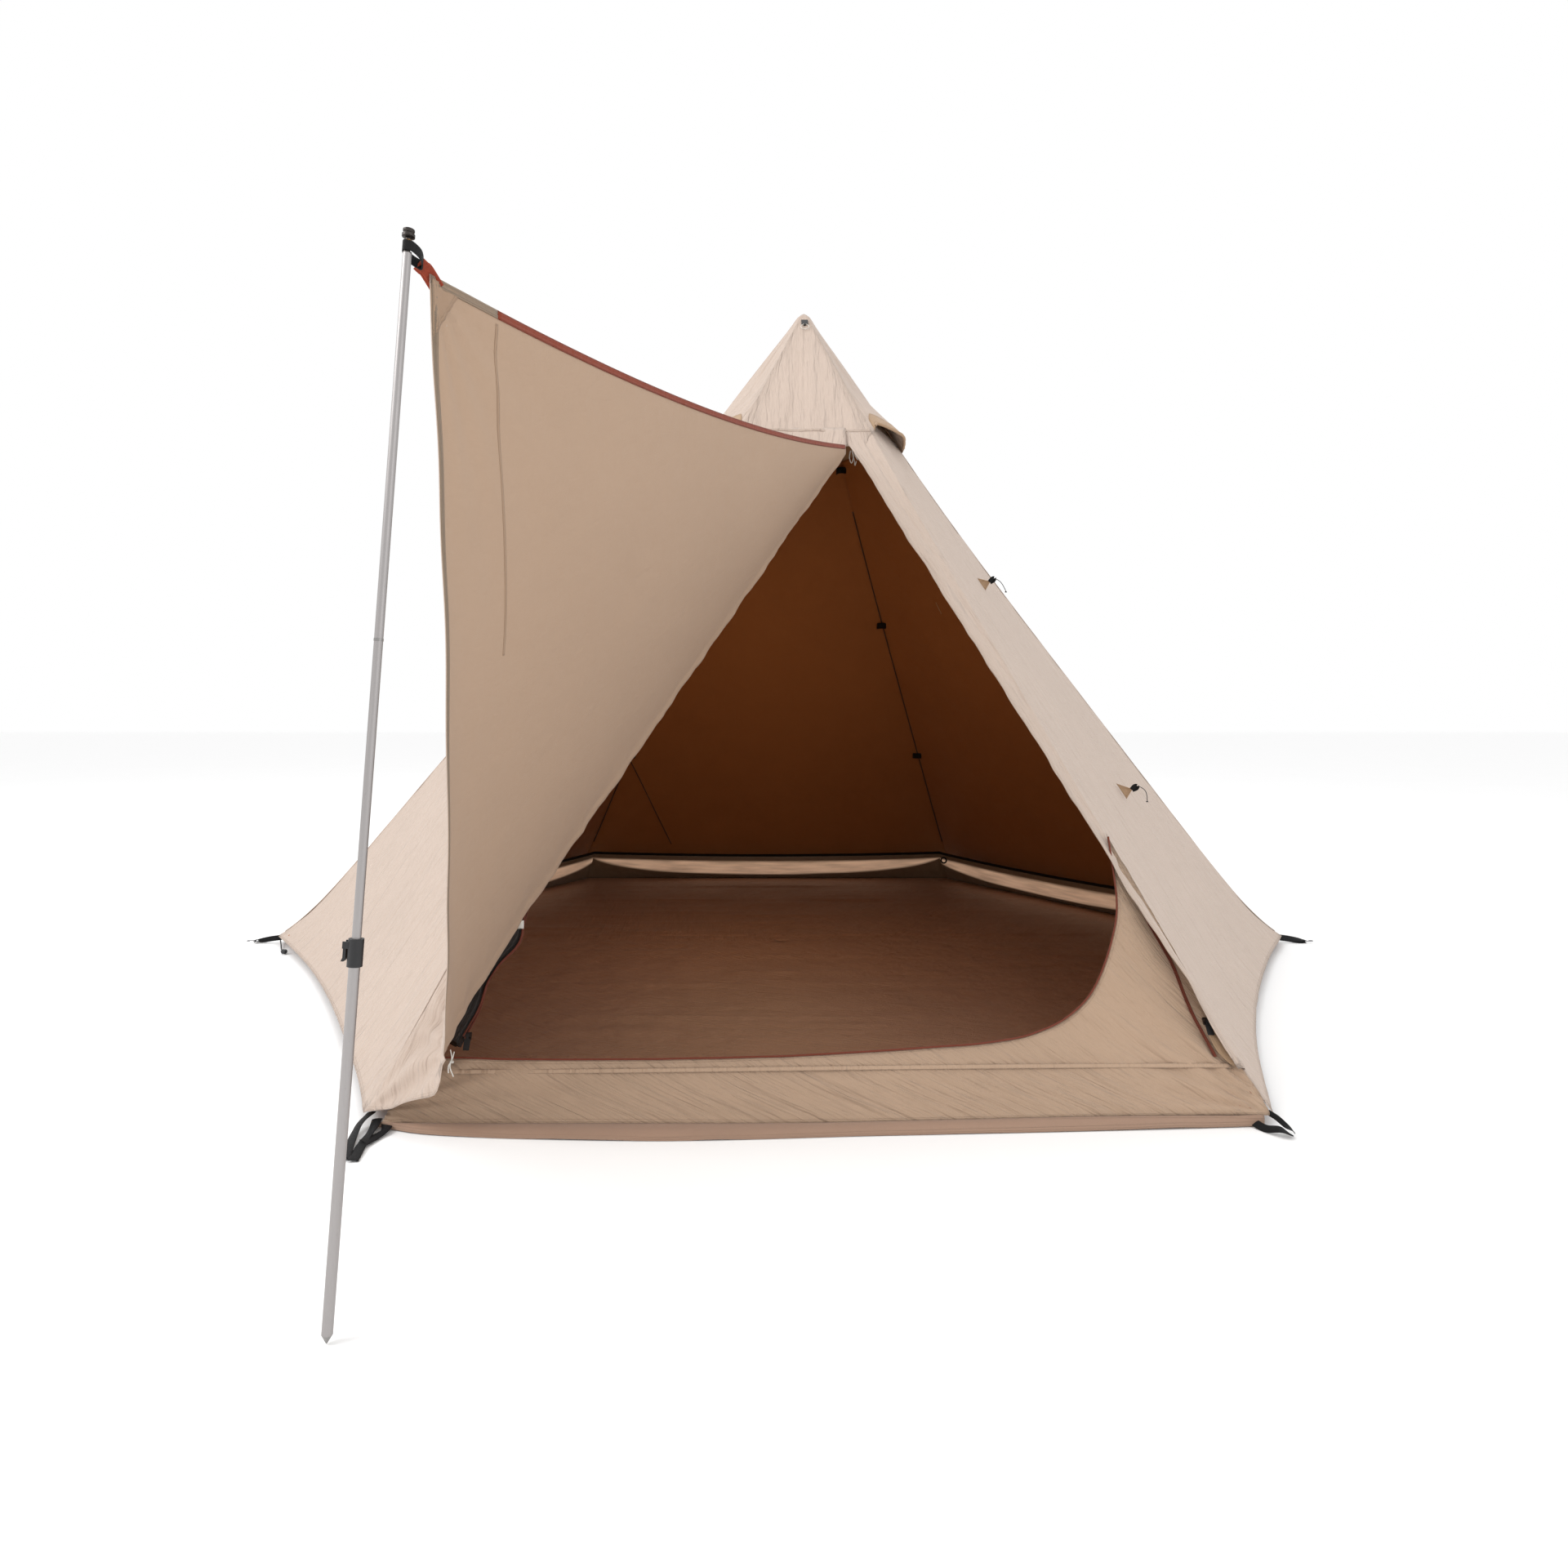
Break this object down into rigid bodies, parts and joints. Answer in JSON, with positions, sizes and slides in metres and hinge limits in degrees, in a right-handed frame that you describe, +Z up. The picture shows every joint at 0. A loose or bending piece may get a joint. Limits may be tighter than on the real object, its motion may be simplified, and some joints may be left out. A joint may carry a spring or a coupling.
{
  "type": "tepee tent",
  "caption": "Six-sided tepee tent on a forked inner pole, with a tub floor, vented peak cap and a door panel raised as an awning on a telescopic pole.",
  "frame": {"origin": "middle of the groundsheet's underside, where the side corners' line crosses the mid plane", "axes": "+Z up, the door faces -Y, +X to the right of a person who looks at the door"},
  "size_m": [4.247, 4.2806, 2.4791],
  "materials": {
    "shell_fabric": "coated polyester-cotton, matt",
    "awning_fabric": "coated polyester-cotton, matt",
    "lower_wall_fabric": "coated polyester, matt",
    "floor_fabric": "coated oxford cloth, satin",
    "rust_binding": "woven tape, matt",
    "mesh_fabric": "fine insect mesh",
    "webbing": "woven polypropylene webbing",
    "cord": "braided cord",
    "pole_metal": "satin anodised",
    "fitting_metal": "plated",
    "black_plastic": "moulded, fine texture",
    "foot_rubber": "moulded"
  },
  "bodies": {
    "root": {"panel_left_front": "shell_fabric", "panel_left_back": "shell_fabric", "panel_back": "shell_fabric", "panel_right_back": "shell_fabric", "panel_right_front": "shell_fabric", "front_wall_left": "shell_fabric", "door_zip_flap": "shell_fabric", "peak_cap": "shell_fabric", "vent_hood_left": "shell_fabric", "vent_hood_right": "shell_fabric", "guyout_gussets": "shell_fabric", "awning_panel": "awning_fabric", "front_sill": "lower_wall_fabric", "front_wall_right": "lower_wall_fabric", "front_apron": "lower_wall_fabric", "groundsheet_wall": "lower_wall_fabric", "groundsheet_floor": "floor_fabric", "awning_edge_binding": "rust_binding", "awning_corner_tab": "rust_binding", "door_piping": "rust_binding", "vent_mesh": "mesh_fabric", "mesh_door_roll": "mesh_fabric", "awning_corner_loop": "webbing", "guyout_tapes": "webbing", "corner_seam_bands": "webbing", "strap_front_left": "webbing", "strap_front_right": "webbing", "strap_right": "webbing", "strap_left": "webbing", "straps_back": "webbing", "guy_tail_upper": "cord", "guy_tail_lower": "cord", "leg_right_lower": "pole_metal", "leg_right_middle": "pole_metal", "leg_right_upper": "pole_metal", "leg_left_lower": "pole_metal", "leg_left_middle": "pole_metal", "leg_left_upper": "pole_metal", "leg_ferrules": "pole_metal", "awning_pole_middle": "pole_metal", "awning_pole_upper": "pole_metal", "awning_finial": "fitting_metal", "awning_pole_joint": "fitting_metal", "pole_hub": "black_plastic", "peak_toggle": "black_plastic", "leg_feet": "foot_rubber"},
    "awning_pole_foot": {"awning_pole_lower": "pole_metal", "awning_pole_spike": "fitting_metal", "pole_clamp": "black_plastic"},
    "lever": {"clamp_lever": "black_plastic"},
    "outer_slider": {"outer_zip_slider": "black_plastic"},
    "outer_pull": {"outer_zip_pull": "black_plastic"},
    "door_slider": {"door_zip_slider": "black_plastic"},
    "door_pull": {"door_zip_pull": "black_plastic"},
    "ring": {"peak_ring": "cord"},
    "peg_hook_right": {"hook_right": "fitting_metal"},
    "peg_hook_left": {"hook_left": "fitting_metal"},
    "peg_hook_back_right": {"hook_back_right": "fitting_metal"},
    "peg_hook_back_left": {"hook_back_left": "fitting_metal"}
  },
  "joints": [
    {"name": "pole_slide", "type": "slide", "parent": "root", "child": "awning_pole_foot", "axis": [0.0611, 0.0346, 0.9975], "range_m": [0, 0.4]},
    {"name": "lever_hinge", "type": "hinge", "parent": "awning_pole_foot", "child": "lever", "pos_m": [-0.74788, -2.45842, 0.56549], "axis": [-0.0011, 0.9994, -0.0346], "range_deg": [0, 110]},
    {"name": "outer_zip_slide", "type": "slide", "parent": "root", "child": "outer_slider", "axis": [-0.2601, 0.5539, 0.7909], "range_m": [-0.05, 0.42]},
    {"name": "outer_pull_hinge", "type": "hinge", "parent": "outer_slider", "child": "outer_pull", "pos_m": [0.902, -1.63439, 0.19915], "axis": [-1, 0, 0], "range_deg": [0, 150]},
    {"name": "door_zip_slide", "type": "slide", "parent": "root", "child": "door_slider", "axis": [1, 0, 0], "range_m": [0, 1.04]},
    {"name": "door_pull_hinge", "type": "hinge", "parent": "door_slider", "child": "door_pull", "pos_m": [-0.79, -1.65635, 0.1718], "axis": [-1, 0, 0], "range_deg": [0, 150]},
    {"name": "ring_hinge", "type": "hinge", "parent": "root", "child": "ring", "pos_m": [0.095, -0.05821, 2.44042], "axis": [-1, 0, 0], "range_deg": [0, 80]},
    {"name": "hook_right_swivel", "type": "hinge", "parent": "root", "child": "peg_hook_right", "pos_m": [2.092, 0, 0.007], "axis": [0, 0, 1], "range_deg": [-35, 35]},
    {"name": "hook_left_swivel", "type": "hinge", "parent": "root", "child": "peg_hook_left", "pos_m": [-2.092, 0, 0.007], "axis": [0, 0, 1], "range_deg": [-35, 35]},
    {"name": "hook_back_right_swivel", "type": "hinge", "parent": "root", "child": "peg_hook_back_right", "pos_m": [1.12954, 1.76752, 0.007], "axis": [0, 0, 1], "range_deg": [-35, 35]},
    {"name": "hook_back_left_swivel", "type": "hinge", "parent": "root", "child": "peg_hook_back_left", "pos_m": [-1.12954, 1.76752, 0.007], "axis": [0, 0, 1], "range_deg": [-35, 35]}
  ]
}
